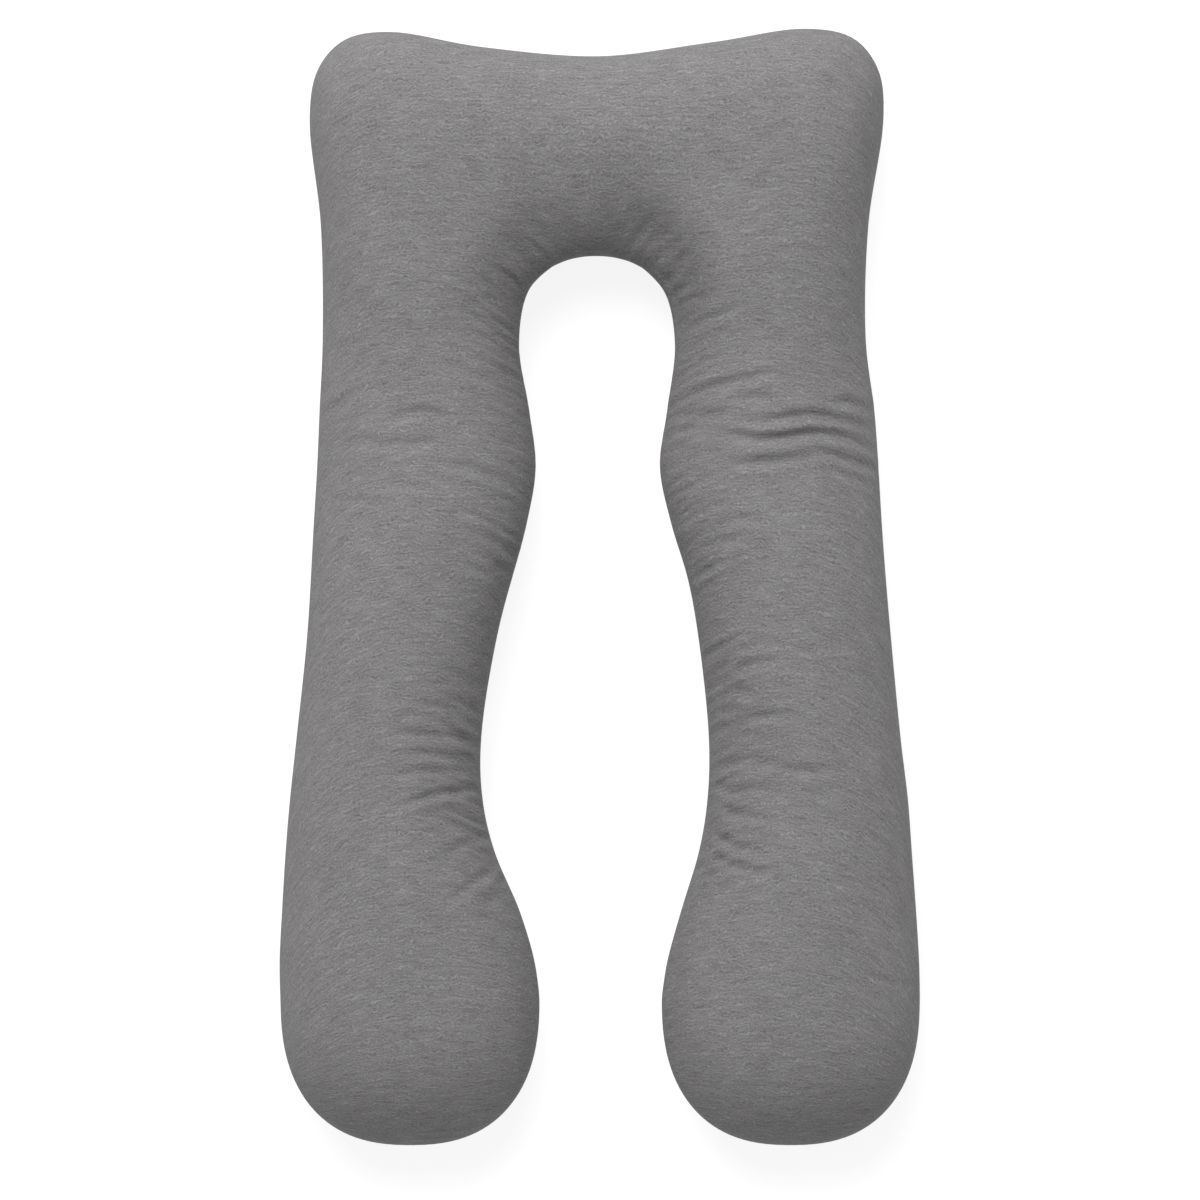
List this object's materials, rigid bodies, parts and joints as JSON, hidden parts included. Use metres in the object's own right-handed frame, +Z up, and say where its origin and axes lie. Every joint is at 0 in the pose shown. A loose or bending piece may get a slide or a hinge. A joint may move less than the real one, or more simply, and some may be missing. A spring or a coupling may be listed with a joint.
{
  "type": "u-shaped body pillow",
  "caption": "Long U-shaped stuffed body pillow in heather grey jersey, with a broad head end and long arms that swell at bulge and foot.",
  "frame": {"origin": "on the floor under the middle of the pillow's outline", "axes": "+Y along the arms towards the head end, +X across to the right arm seen from above, +Z up out of the top face"},
  "size_m": [0.8061, 1.401, 0.2089],
  "materials": {
    "jersey": "heather grey cotton jersey knit, matt, with short lighter and darker streaks across the arms"
  },
  "bodies": {
    "root": {"pillow": "jersey"}
  },
  "joints": []
}
